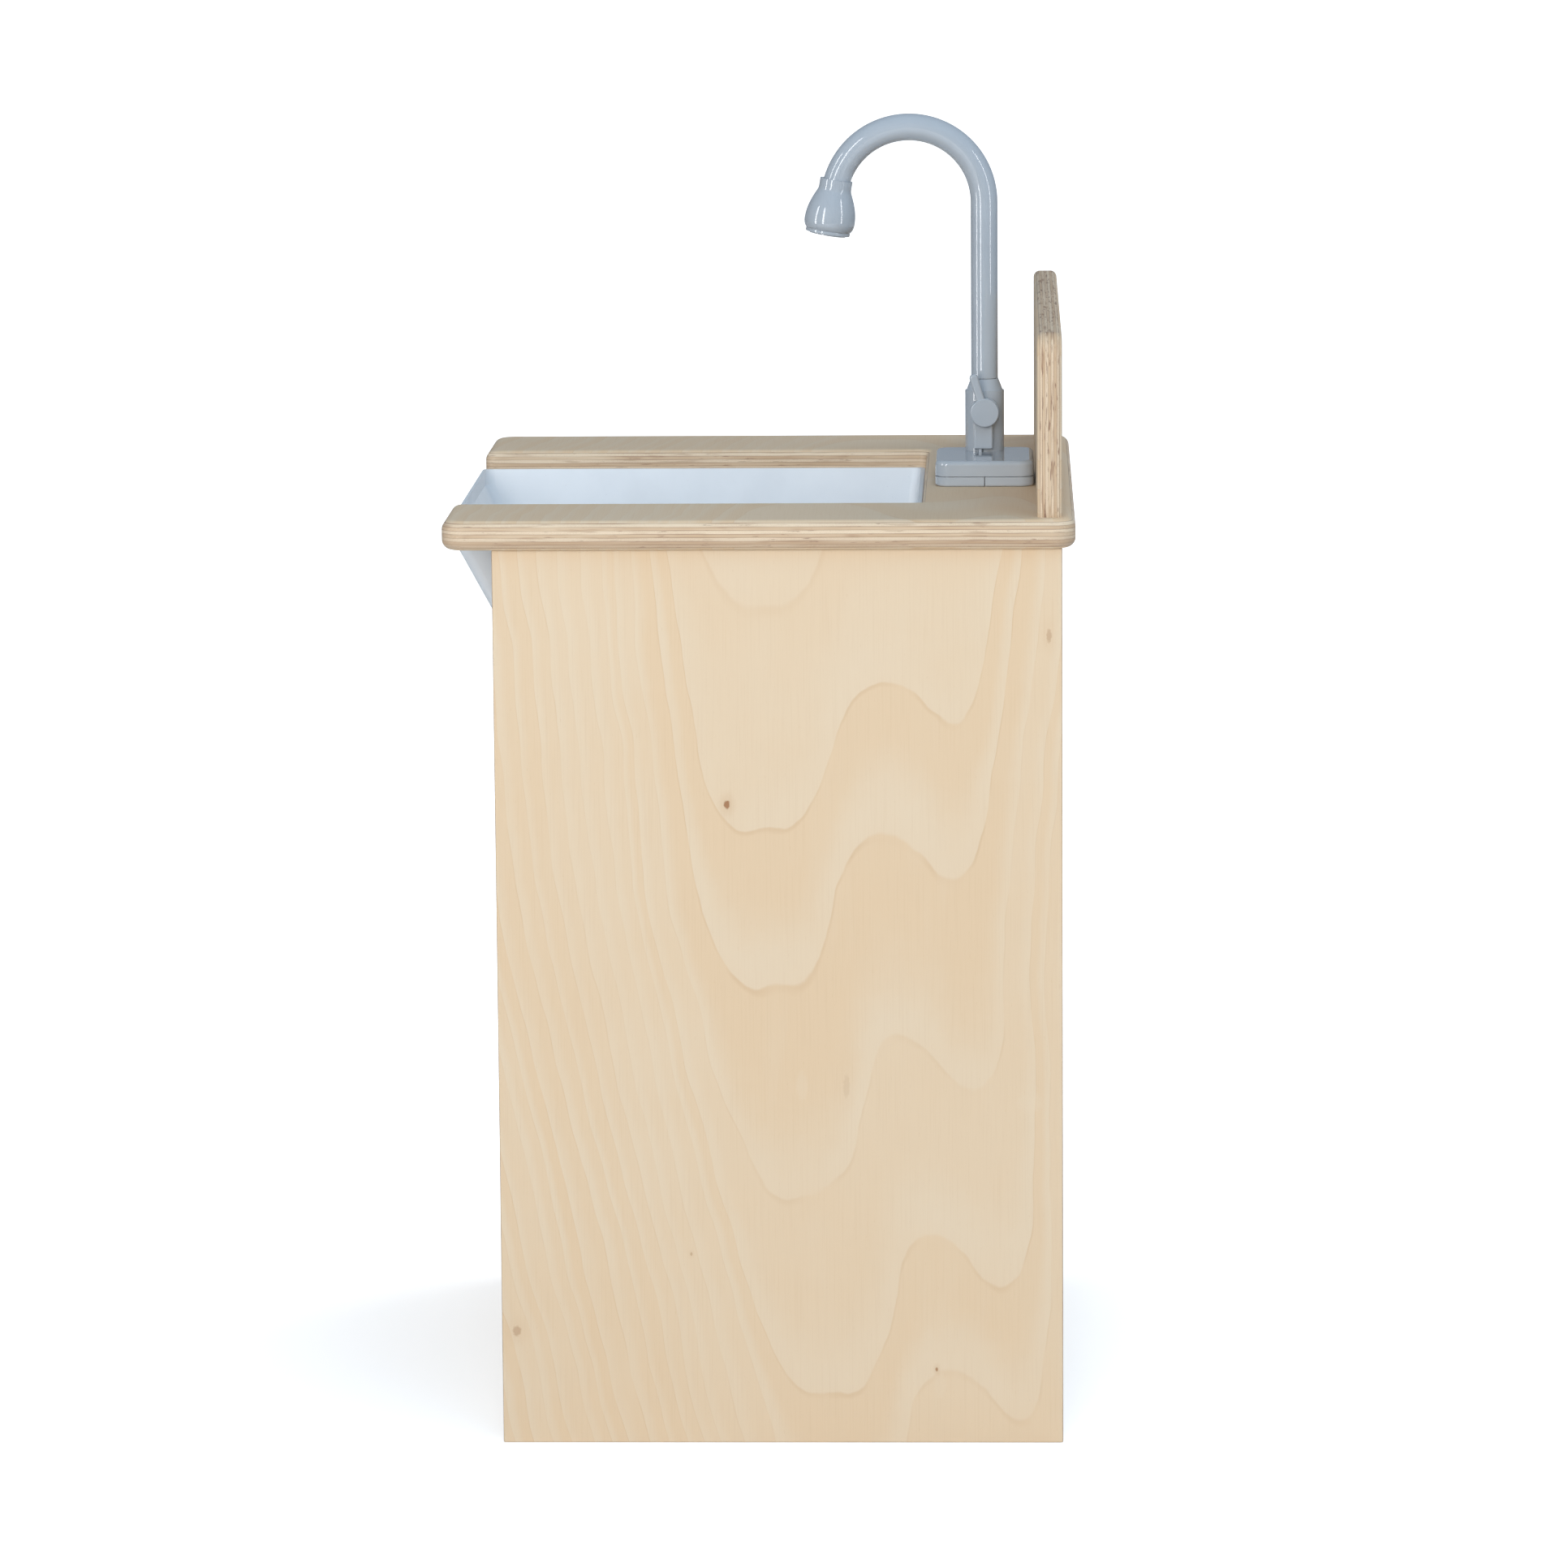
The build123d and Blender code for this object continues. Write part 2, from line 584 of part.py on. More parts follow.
def lever_shaft():
    """Pin pressed into the dial, with a groove for its seal."""
    length = HOUSING_FACE + DIAL_GAP + DIAL_THICK / 2 - shaft_start()
    pin = upright(SHAFT_RADIUS, 0, length)
    seal = upright(SHAFT_RADIUS + 1, SEAL_SECTION, 3 * SEAL_SECTION)
    pin -= seal - upright(SHAFT_RADIUS - 2 * SHAFT_SEAL, SEAL_SECTION, 3 * SEAL_SECTION)
    return lever_frame(shaft_start()) * pin


def lever_seal():
    ring = Pos(0, 0, 2 * SEAL_SECTION) * Torus(SHAFT_RADIUS - SHAFT_SEAL, SHAFT_SEAL)
    return lever_frame(shaft_start()) * ring


# ---- spout ----
def spout_bore(radius, start):
    """Rod of one radius along the whole spout: riser from one height, then the bend."""
    centre = joint_z + SPOUT_RISE
    riser = upright(radius, start, centre, 0, tap_y)
    axis = Axis((0, tap_y - BEND_RADIUS, centre), (1, 0, 0))
    return riser + revolve(Pos(0, tap_y, centre) * Circle(radius), axis, 180 - BEND_SHORT)


def groove(radius, low, high):
    """Ring to cut from the spigot."""
    return upright(TUBE_RADIUS, low, high, 0, tap_y) - upright(radius, low, high, 0, tap_y)


def spout_tube():
    """Gooseneck with a closed foot and a spigot that turns in the tap's body."""
    tube = spout_bore(TUBE_RADIUS, joint_z) - spout_bore(TUBE_RADIUS - TUBE_WALL, joint_z + SPOUT_PLUG)
    foot = joint_z - SPIGOT_LENGTH
    tube += upright(SPIGOT_RADIUS, foot, joint_z, 0, tap_y)
    tube -= upright(SPIGOT_BORE, foot, joint_z + SPOUT_PLUG, 0, tap_y)
    tube -= groove(CLIP_GROOVE, clip_top() - CLIP_HEIGHT, clip_top())
    seal_z = joint_z - SEAL_DROP
    return tube - groove(SPIGOT_RADIUS - 2 * SEAL_SECTION, seal_z - SEAL_SECTION, seal_z + SEAL_SECTION)


def clip_top():
    return socket_foot - CLIP_BELOW_SOCKET


def spout_clip():
    """Open ring in the spigot's groove that keeps the spout in its socket."""
    high = clip_top()
    low = high - CLIP_HEIGHT
    ring = upright(CLIP_RADIUS, low, high, 0, tap_y) - upright(CLIP_GROOVE, low, high, 0, tap_y)
    return ring - block((-CLIP_GROOVE / 2, CLIP_GROOVE / 2), (tap_y, tap_y + TUBE_RADIUS), (low, high))


def spout_seal():
    ring = Torus(SPIGOT_RADIUS - SEAL_SECTION, SEAL_SECTION)
    return Pos(0, tap_y, joint_z - SEAL_DROP) * ring


# ---- nozzle ----
def nozzle_place():
    """Top of the collar, with drawn +Z pointing back up the nozzle's axis."""
    short = radians(BEND_SHORT)
    up = Vector(0, sin(short), cos(short))
    centre = Vector(0, tap_y - BEND_RADIUS, joint_z + SPOUT_RISE)
    tube_end = centre + Vector(0, -cos(short), sin(short)) * BEND_RADIUS
    return Plane(origin=tube_end + up * NOZZLE_GRIP, x_dir=(1, 0, 0), z_dir=up).location


def bell(thinner, top):
    """Bell outline from the collar down to the foot, made thinner by a wall's thickness."""
    collar = COLLAR_RADIUS - thinner
    bulb = BULB_RADIUS - thinner
    foot = BULB_END_RADIUS - thinner
    throat = (THROAT_RADIUS - thinner, -THROAT_AT)
    middle = (FLARE_RADIUS - thinner, -FLARE_AT)
    flare = Spline((collar, -COLLAR_LENGTH), throat, middle, (bulb, -BULB_AT), (foot, -BULB_LENGTH),
                   tangents=((0, -1), (-1, -1)))
    outline = Line((0, top), (collar, top)) + Line((collar, top), (collar, -COLLAR_LENGTH)) + flare
    outline += Line((foot, -BULB_LENGTH), (0, -BULB_LENGTH)) + Line((0, -BULB_LENGTH), (0, top))
    return revolve(Plane.XZ * make_face(outline), Axis.Z)


def nozzle_shell():
    """Bell with a collar that holds the tube's end."""
    hollow = bell(NOZZLE_WALL, -NOZZLE_GRIP / 2)
    return nozzle_place() * (bell(0, 0) - hollow) - spout_bore(TUBE_RADIUS, joint_z)


def nozzle_ring():
    """Ring under the bell, with a lip round the outlet."""
    low = -BULB_LENGTH - RING_HEIGHT
    ring = upright(RING_RADIUS, low, -BULB_LENGTH)
    ring = fillet(ring.edges(), RING_ROUND)
    ring += upright(LIP_RADIUS, low - RING_LIP, low)
    ring -= upright(LIP_RADIUS - NOZZLE_WALL, low - RING_LIP, -BULB_LENGTH)
    return nozzle_place() * ring


def nozzle_plate():
    """Outlet plate inside the ring, with two rings of small holes round a middle one."""
    high = -BULB_LENGTH - RING_HEIGHT / 3
    radius = LIP_RADIUS - NOZZLE_WALL
    plate = upright(radius, high - PLATE_THICK, high)
    plate -= upright(PLATE_HOLE, high - PLATE_THICK, high)
    for spots in (PolarLocations(radius * 0.4, 6), PolarLocations(radius * 0.75, 12)):
        plate -= [spot * upright(PLATE_HOLE, high - PLATE_THICK, high) for spot in spots]
    return nozzle_place() * plate


# ---- all the pieces ----
def pieces():
    return {
        "left_side_panel": side_panel(-1),
        "right_side_panel": side_panel(1),
        "back_panel": back_panel(),
        "floor_panel": level_board(FLOOR_PANEL_Z, FLOOR_PANEL_SET),
        "shelf": level_board(SHELF_Z, SHELF_SET),
        "plinth": plinth(),
        "left_top_cleat": top_cleat(-1),
        "right_top_cleat": top_cleat(1),
        "rear_top_rail": rear_top_rail(),
        "left_basin_runner": side_runner(-1),
        "right_basin_runner": side_runner(1),
        "rear_basin_runner": rear_runner(),
        "worktop": worktop(),
        "backsplash": backsplash(),
        "basin": basin(),
        "panel_dowels": panel_dowels(),
        "cam_bolts": cam_bolts(),
        "cam_locks": cam_locks(),
        "cleat_screws": screws(cleat_screw_places(), BATTEN_SCREW),
        "worktop_screws": screws(worktop_screw_places(), BATTEN_SCREW),
        "runner_screws": screws(runner_screw_places(), RUNNER_SCREW),
        "backsplash_screws": screws(splash_screw_places(), SPLASH_SCREW),
        "back_panel_screws": screws(back_screw_places(), BACK_SCREW),
        "tap_base_screws": screws(tap_screw_places(), TAP_SCREW),
        "base_cover_screws": screws(cover_screw_places(), COVER_SCREW, COVER_SCREW_RADIUS, COVER_SCREW_HEAD),
        "tap_base_front_plate": base_plate(-1),
        "tap_base_rear_plate": base_plate(1),
        "tap_base_cover": base_cover(),
        "tap_body": tap_body(),
        "tap_body_nut": body_nut(),
        "lever_housing": lever_housing(),
        "lever_arm": lever_arm(),
        "lever_shaft": lever_shaft(),
        "lever_seal": lever_seal(),
        "spout_tube": spout_tube(),
        "spout_clip": spout_clip(),
        "spout_seal": spout_seal(),
        "nozzle_shell": nozzle_shell(),
        "nozzle_ring": nozzle_ring(),
        "nozzle_plate": nozzle_plate(),
    }


os.makedirs("parts", exist_ok=True)
for name, shape in pieces().items():
    whole = Compound(shape) if isinstance(shape, list) else shape
    export_step(whole, f"parts/{name}.step")
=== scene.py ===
"""Looks for a plywood play kitchen with a lift-out basin and a gooseneck tap, laid out as an add-on.

Metres, +Z up, the child stands on the -Y side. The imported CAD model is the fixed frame.
"""
from math import cos, sin

import bpy
from bpy.props import FloatProperty, FloatVectorProperty, IntProperty, PointerProperty
from mathutils import Matrix, Vector


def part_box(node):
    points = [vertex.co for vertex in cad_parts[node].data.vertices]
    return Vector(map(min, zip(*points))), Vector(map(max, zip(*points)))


bl_info = {
    "name": "Play Kitchen",
    "version": (1, 0, 0),
    "blender": (4, 5, 0),
    "location": "View3D > Sidebar > Kitchen",
    "description": "Finishes and stage for a plywood play kitchen",
    "category": "Object",
}

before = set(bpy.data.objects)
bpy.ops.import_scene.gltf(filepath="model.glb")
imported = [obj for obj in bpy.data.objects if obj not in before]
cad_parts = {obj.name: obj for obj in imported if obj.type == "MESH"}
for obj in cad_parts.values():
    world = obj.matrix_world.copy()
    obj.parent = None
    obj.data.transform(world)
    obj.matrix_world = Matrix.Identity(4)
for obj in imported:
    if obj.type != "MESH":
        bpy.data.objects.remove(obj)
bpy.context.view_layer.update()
MILLI = 0.001
AXES = "XYZ"


# ---- settings ----
def colour(name, text, value):
    """Colour property, as linear red, green and blue."""
    return FloatVectorProperty(name=name, description=text, default=value, subtype="COLOR",
                               size=3, min=0.0, max=1.0)


def number(name, text, value, **more):
    return FloatProperty(name=name, description=text, default=value, **more)


def fraction(name, text, value):
    return number(name, text, value, min=0.0, max=1.0, subtype="FACTOR")


def angle(name, text, value):
    return number(name, text, value, subtype="ANGLE", unit="ROTATION")


def count(name, text, value):
    return IntProperty(name=name, description=text, default=value, min=3, max=15)


class PlywoodSettings(bpy.types.PropertyGroup):
    """Colours and layers of the boards."""
    veneer_light: colour("Light veneer", "Earlywood of the face veneer", (0.672, 0.532, 0.376))
    veneer_tan: colour("Tan veneer", "Latewood of the face veneer", (0.656, 0.477, 0.302))
    veneer_line: colour("Veneer line", "Thin line where one season's growth ends", (0.54, 0.355, 0.205))
    knot: colour("Knot", "Small knots", (0.30, 0.13, 0.05))
    ply_light: colour("Light ply", "Palest inner ply on a cut edge", (0.73, 0.595, 0.435))
    ply_dark: colour("Dark ply", "Darkest inner ply on a cut edge", (0.46, 0.30, 0.175))
    glue: colour("Glue line", "Line between two plies", (0.22, 0.115, 0.075))
    veneer_mm: number("Face veneer", "Thickness of the outermost ply, in millimetres", 1.5, min=0.2, max=4.0)
    panel_plies: count("Panel plies", "Inner plies of the sides, the floor, the shelf and the plinth", 7)
    back_plies: count("Back plies", "Inner plies of the back panel", 3)
    worktop_plies: count("Worktop plies", "Inner plies of the worktop", 7)
    splash_plies: count("Backsplash plies", "Inner plies of the backsplash", 7)
    lacquer_roughness: fraction("Lacquer roughness", "Roughness of the satin lacquer", 0.5)


class PlasticSettings(bpy.types.PropertyGroup):
    """Colours of the basin and the tap."""
    basin: colour("Basin", "White plastic with a cool cast", (0.70, 0.722, 0.745))
    tap: colour("Tap", "Blue-grey plastic", (0.385, 0.418, 0.455))
    outlet: colour("Outlet", "Dark plate inside the nozzle", (0.05, 0.055, 0.06))
    basin_roughness: fraction("Basin roughness", "Soft sheen of the basin", 0.38)
    tap_roughness: fraction("Tap roughness", "Polish of the tap", 0.09)


class StageSettings(bpy.types.PropertyGroup):
    """Camera, floor and lights."""
    camera: FloatVectorProperty(name="Camera", description="Where the camera stands",
                                default=(4.38512, 0.14707, 1.07843), subtype="TRANSLATION", unit="LENGTH")
    yaw: angle("Yaw", "Camera's turn away from looking along -X", -0.03186)
    pitch: angle("Pitch", "Camera's tilt down", 0.15984)
    roll: angle("Roll", "Camera's turn about its own line of sight", -0.00748)
    lens: number("Lens", "Focal length, in millimetres", 160.86, min=20.0, max=400.0)
    key_power: number("Key light", "Power of the large light beside the camera", 101.0, min=0.0, unit="POWER")
    overhead_power: number("Overhead light", "Power of the cool light above", 18.0, min=0.0, unit="POWER")
    sky: colour("Sky", "Light that comes from all round", (0.55, 0.62, 0.70))
    sky_strength: number("Sky strength", "How strong that light is", 0.55, min=0.0)
    floor: colour("Floor", "Pale floor", (0.90, 0.90, 0.90))
    floor_glow: number("Floor glow", "Light that the floor near the kitchen adds of its own", 0.45, min=0.0)
    floor_bounce: number("Floor bounce", "Light that the floor throws back up", 0.0, min=0.0)


def settings():
    scene = bpy.context.scene
    return scene.kitchen_plywood, scene.kitchen_plastic, scene.kitchen_stage


# ---- node trees ----
class Tree:
    """Short calls for building a node tree."""

    def __init__(self, tree):
        self.tree = tree

    def node(self, kind, values=(), **settings_of_node):
        """Node of one kind; values are pairs of an input and what it takes, a socket or a number."""
        made = self.tree.nodes.new(kind)
        for name, value in settings_of_node.items():
            setattr(made, name, value)
        for place, value in values:
            self.feed(made.inputs[place], value)
        return made

    def feed(self, socket, value):
        if isinstance(value, bpy.types.NodeSocket):
            self.tree.links.new(value, socket)
        elif hasattr(value, "__len__") and socket.type == "RGBA" and len(value) == 3:
            socket.default_value = (*value, 1.0)
        else:
            socket.default_value = value

    def math(self, operation, *values, clamp=False):
        return self.node("ShaderNodeMath", enumerate(values), operation=operation, use_clamp=clamp).outputs[0]

    def add(self, a, b):
        return self.math("ADD", a, b)

    def times(self, a, b):
        return self.math("MULTIPLY", a, b)

    def mix(self, share, a, b):
        """Colour between two colours."""
        made = self.node("ShaderNodeMix", data_type="RGBA", clamp_factor=True)
        for place, value in ((0, share), (6, a), (7, b)):
            self.feed(made.inputs[place], value)
        return made.outputs[2]

    def between(self, a, b, share):
        """Number between two numbers."""
        made = self.node("ShaderNodeMix", data_type="FLOAT", clamp_factor=True)
        for place, value in ((0, share), (2, a), (3, b)):
            self.feed(made.inputs[place], value)
        return made.outputs[0]

    def rise(self, value, low, high, to_low=0.0, to_high=1.0):
        """Value taken smoothly from one range to another, and held at its ends."""
        made = self.node("ShaderNodeMapRange", interpolation_type="SMOOTHSTEP")
        for place, number_in in enumerate((value, low, high, to_low, to_high)):
            self.feed(made.inputs[place], number_in)
        return made.outputs[0]

    def rise_line(self, value, low, high):
        """Value's share of a range, unclamped."""
        made = self.node("ShaderNodeMapRange", clamp=False)
        for place, number_in in enumerate((value, low, high, 0.0, 1.0)):
            self.feed(made.inputs[place], number_in)
        return made.outputs[0]

    def vector(self, x, y, z):
        return self.node("ShaderNodeCombineXYZ", enumerate((x, y, z))).outputs[0]

    def parts(self, vector):
        return self.node("ShaderNodeSeparateXYZ", [(0, vector)]).outputs

    def noise(self, vector, scale=1.0, detail=2.0, roughness=0.5, distortion=0.0):
        """Smooth noise from 0 to 1."""
        made = self.node("ShaderNodeTexNoise", [("Vector", vector), ("Scale", scale), ("Detail", detail),
                                                ("Roughness", roughness), ("Distortion", distortion)])
        return made.outputs["Fac"]

    def sway(self, vector, length, reach, detail=2.0, roughness=0.5):
        """Smooth noise about zero, from the length of its waves and its reach from end to end."""
        return self.times(self.add(self.noise(vector, 1 / length, detail, roughness), -0.5), reach)

    def stretched(self, places, lengths, detail=2.0, roughness=0.5):
        """Noise with its own wave length along each axis; a place past the last length is taken as it is."""
        scaled = [self.times(place, 1 / length) for place, length in zip(places, lengths)]
        return self.noise(self.vector(*scaled, *places[len(lengths):]), 1.0, detail, roughness)

    def wave(self, value, length):
        """Smooth noise along one number."""
        made = self.node("ShaderNodeTexNoise", [("W", value), ("Scale", 1 / length), ("Detail", 2.0)],
                         noise_dimensions="1D")
        return made.outputs["Fac"]

    def random(self, value):
        """One random number from 0 to 1 for each value."""
        return self.node("ShaderNodeTexWhiteNoise", [("W", value)], noise_dimensions="1D").outputs["Value"]


def group(name, inputs, outputs):
    """New shader group with its sockets, its tree and its input and output ends."""
    made = bpy.data.node_groups.new(name, "ShaderNodeTree")
    for side, sockets in (("INPUT", inputs), ("OUTPUT", outputs)):
        for label, kind, value in sockets:
            socket = made.interface.new_socket(label, in_out=side, socket_type=kind)
            if value is not None:
                socket.default_value = value
    tree = Tree(made)
    return tree, tree.node("NodeGroupInput").outputs, tree.node("NodeGroupOutput").inputs


def use(tree, name, values=()):
    made = tree.node("ShaderNodeGroup")
    made.node_tree = bpy.data.node_groups[name]
    for place, value in values:
        tree.feed(made.inputs[place], value)
    return made.outputs


# ---- patterns, in millimetres ----
FLOAT, VECTOR, COLOUR = "NodeSocketFloat", "NodeSocketVector", "NodeSocketColor"

# Height that the figure's lines climb against the distance across the grain. The lines run steeply at both
# sides, dip at the middle of the heart and stand in a low arch beside it.
FIGURE_ACROSS = (-240.0, 200.0)
FIGURE_CLIMB = (-2000.0, 100.0)
FIGURE = ((-240, -1960), (-165, -1190), (-110, -640), (-59, -120), (-44, -36), (-29, -4), (-8, 0), (14, -8),
          (29, -38), (39, -68), (50, -88), (66, -95), (82, -86), (97, -69), (112, -71), (122, -93),
          (134, -160), (150, -290), (200, -760))
SEASON_PITCH = 118.0        # from one growth line to the next
SEASON_SWAY = 1.2           # how far that pitch wavers, in seasons
HEART_TOP = 331.0           # the heart leans below this height
HEART_BEND = 60.0           # over which the lean begins
HEART_LEAN = 0.13           # sideways for each millimetre down

# Knots: place across and along the grain, half-width, half-height and depth of colour.
KNOTS = ((-31, 395, 2.2, 3.2, 0.9), (163, 497, 2.0, 5.0, 0.35), (-162, 70, 3.2, 4.0, 0.4),
         (94, 46, 1.0, 1.6, 0.8), (-55, 118, 0.9, 1.3, 0.4), (40, 222, 2.4, 9.0, 0.14))
# Pale spots: place across and along the grain, half-width and half-height.
BRIGHT_SPOTS = ((89, 60, 5.0, 14.0), (96, 36, 4.0, 9.0), (13, 222, 4.0, 10.0), (151, 212, 9.0, 7.0))


def build_figure_group():
    """Face veneer cut flat from the log.

    The height of a growth layer is the height along the grain, plus a climb that depends on the distance
    across it, plus smooth noise. The layer's tone rises slowly through a season and drops at a thin line.
    """
    tree, get, give = group("Veneer figure", [
        ("Point", VECTOR, None), ("Light", COLOUR, None), ("Tan", COLOUR, None),
        ("Line", COLOUR, None), ("Knot", COLOUR, None), ("Knots", FLOAT, 1.0)],
        [("Color", COLOUR, None), ("Height", FLOAT, None)])
    across, along, _ = tree.parts(get["Point"])
    flat = tree.vector(across, along, 0.0)
    slow = tree.sway(flat, 85, 34.0)
    quick = tree.sway(flat, 17, 5.0, roughness=0.6)
    below = tree.math("SMOOTH_MAX", tree.math("SUBTRACT", HEART_TOP, along), 0.0, HEART_BEND)
    place = tree.math("SUBTRACT", across, tree.times(below, HEART_LEAN))
    place = tree.add(place, tree.sway(flat, 60, 9.0, detail=1.0))
    low, high = FIGURE_ACROSS
    curve = tree.node("ShaderNodeFloatCurve", [("Value", tree.rise_line(place, low, high))])
    points = curve.mapping.curves[0].points
    climb_low, climb_high = FIGURE_CLIMB
    spots = [((x - low) / (high - low), (y - climb_low) / (climb_high - climb_low)) for x, y in FIGURE]
    points[0].location = spots[0]
    points[-1].location = spots[-1]
    for spot in spots[1:-1]:
        points.new(*spot)
    curve.mapping.update()
    climb = tree.add(tree.times(curve.outputs[0], climb_high - climb_low), climb_low)
    height = tree.add(tree.add(along, climb), tree.add(slow, quick))
    even = tree.math("DIVIDE", height, SEASON_PITCH)
    season = tree.add(even, tree.times(tree.wave(height, 260), SEASON_SWAY))
    part = tree.math("FRACT", season)
    weight = tree.add(tree.times(tree.random(tree.math("FLOOR", season)), 0.6), 0.4)
    soft = tree.add(part, tree.sway(flat, 9, 0.16, 3.0, 0.6))
    tone = tree.times(tree.rise(soft, 0.06, 0.62), weight)
    tone = tree.times(tone, tree.rise(part, 1.0, 0.972))
    cloud = tree.rise(tree.noise(flat, 1 / 110, 3.0), 0.35, 0.7)
    base = tree.mix(tree.times(cloud, 0.3), get["Light"], get["Tan"])
    base = tree.mix(tree.times(tone, 0.85), base, get["Tan"])
    line = tree.times(tree.rise(part, 0.93, 0.975), tree.rise(part, 1.0, 0.978))
    broken = tree.rise(tree.noise(flat, 1 / 40, 2.0), 0.35, 0.62)
    base = tree.mix(tree.times(tree.times(line, weight), tree.times(broken, 0.42)), base, get["Line"])
    streak = tree.stretched((across, along, 0.0), (0.9, 60), 3.0, 0.65)
    base = tree.mix(tree.rise(streak, 0.45, 0.85, 0.0, 0.22), base, get["Line"])
    sheen = tree.stretched((across, along, 3.0), (26, 150), 3.0, 0.6)
    base = tree.mix(tree.rise(sheen, 0.5, 0.8, 0.0, 0.3), base, get["Light"])
    fleck = tree.stretched((across, along, 7.0), (0.45, 5), 1.0)
    base = tree.mix(tree.rise(fleck, 0.70, 0.82, 0.0, 0.35), base, get["Line"])
    for x, y, wide, tall in BRIGHT_SPOTS:
        near = spot_distance(tree, across, along, x, y, wide, tall)
        glow = tree.times(tree.rise(near, 1.1, 0.6), tree.times(get["Knots"], 0.35))
        base = tree.mix(glow, base, get["Light"])
    for x, y, wide, tall, dark in KNOTS:
        near = spot_distance(tree, across, along, x, y, wide, tall)
        halo = tree.times(tree.rise(near, 3.2, 0.8), tree.times(get["Knots"], 0.35 * dark))
        base = tree.mix(halo, base, get["Line"])
        core = tree.times(tree.rise(near, 1.0, 0.55), tree.times(get["Knots"], dark))
        base = tree.mix(core, base, get["Knot"])
    tree.feed(give["Color"], base)
    tree.feed(give["Height"], tree.add(tree.times(streak, 0.7), tree.times(fleck, 0.3)))


def spot_distance(tree, across, along, x, y, wide, tall):
    """Distance from a spot's middle, counted in its own half-widths."""
    a = tree.math("DIVIDE", tree.math("SUBTRACT", across, x), wide)
    b = tree.math("DIVIDE", tree.math("SUBTRACT", along, y), tall)
    length = tree.math("SQRT", tree.add(tree.times(a, a), tree.times(b, b)))
    return tree.add(length, tree.sway(tree.vector(across, along, 0.0), 2.0, 0.7))


VENEER_BLEND = 0.08         # to each side of the face veneer's inner border
PORE = 0.5                  # grain across a ply
STREAK = 34                 # grain along a ply


def build_edge_group():
    """Cut edge of a board: plies stacked through its depth, each with its own tone, with glue between.

    Plies alternate in direction, so one shows long streaks where the next shows its end grain. Stain lays
    amber and dark patches over them, and painted shade darkens the lower half of a level board's edge.
    """
    tree, get, give = group("Ply edge", [
        ("Point", VECTOR, None), ("Half", FLOAT, 9.0), ("Veneer", FLOAT, 1.5), ("Plies", FLOAT, 7.0),
        ("Light", COLOUR, None), ("Dark", COLOUR, None), ("Glue", COLOUR, None), ("Seed", FLOAT, 0.0),
        ("Stain", FLOAT, 0.3), ("Painted underside shade", FLOAT, 0.0)],
        [("Color", COLOUR, None), ("Face", FLOAT, None), ("Height", FLOAT, None)])
    across, along, depth = tree.parts(get["Point"])
    level = tree.add(depth, tree.sway(tree.vector(across, along, get["Seed"]), 45, 0.5))
    rim = tree.math("SUBTRACT", get["Half"], tree.math("ABSOLUTE", depth))
    outer = tree.math("SUBTRACT", get["Veneer"], VENEER_BLEND)
    face = tree.rise(rim, tree.add(get["Veneer"], VENEER_BLEND), outer)
    core = tree.times(tree.math("SUBTRACT", get["Half"], get["Veneer"]), 2.0)
    stack = tree.times(tree.add(tree.math("DIVIDE", level, core), 0.5), get["Plies"])
    ply = tree.math("FLOOR", stack)
    part = tree.math("FRACT", stack)
    own = tree.random(tree.add(ply, get["Seed"]))
    turned = tree.math("MODULO", tree.math("ABSOLUTE", ply), 2.0)
    point = (across, along, depth)
    lengthwise = tree.stretched(point, (PORE, STREAK, PORE), 3.0, 0.65)
    crosswise = tree.stretched(point, (STREAK, PORE, PORE), 3.0, 0.65)
    grain = tree.between(lengthwise, crosswise, turned)
    slow = tree.stretched((across, along, ply), (60, 60))
    shade = tree.add(tree.times(turned, 0.42), tree.times(own, 0.28))
    shade = tree.add(shade, tree.times(tree.add(grain, -0.5), 0.95))
    shade = tree.add(shade, tree.times(tree.add(slow, -0.5), 0.8))
    base = tree.mix(shade, get["Light"], get["Dark"])
    base = tree.mix(tree.times(get["Stain"], 0.3), base, get["Dark"])
    edge = tree.math("MINIMUM", part, tree.math("SUBTRACT", 1.0, part))
    patchy = tree.rise(slow, 0.34, 0.62)
    glue = tree.times(tree.rise(edge, 0.15, 0.02), tree.add(tree.times(patchy, 0.6), 0.16))
    base = tree.mix(glue, base, get["Glue"])
    inside = tree.math("SUBTRACT", get["Half"], tree.math("ABSOLUTE", level))
    border = tree.math("ABSOLUTE", tree.math("SUBTRACT", inside, get["Veneer"]))
    seam = tree.times(tree.rise(border, 0.5, 0.1), tree.add(tree.times(patchy, 0.4), 0.42))
    base = tree.mix(seam, base, get["Glue"])
    smear = tree.stretched((across, along, tree.add(tree.times(depth, 0.42), get["Seed"])), (26, 26))
    amber = tree.mix(0.5, get["Dark"], get["Glue"])
    base = tree.mix(tree.times(tree.rise(smear, 0.56, 0.70), get["Stain"]), base, amber)
    # painted shade: the lower half of the edge darkens toward amber, as in the shade under a rounded bottom
    # edge
    base = tree.mix(tree.times(tree.rise(depth, 1.5, -8.0), get["Painted underside shade"]), base, amber)
    burn = tree.stretched((across, along, tree.add(tree.times(depth, 0.9), get["Seed"])), (13, 13), 3.0, 0.6)
    burnt = tree.rise(tree.add(burn, tree.times(get["Stain"], 0.08)), 0.655, 0.72)
    base = tree.mix(tree.times(burnt, tree.add(tree.times(get["Stain"], 0.5), 0.4)), base, get["Glue"])
    tree.feed(give["Color"], base)
    tree.feed(give["Face"], face)
    tree.feed(give["Height"], tree.math("SUBTRACT", grain, tree.times(glue, 0.5)))


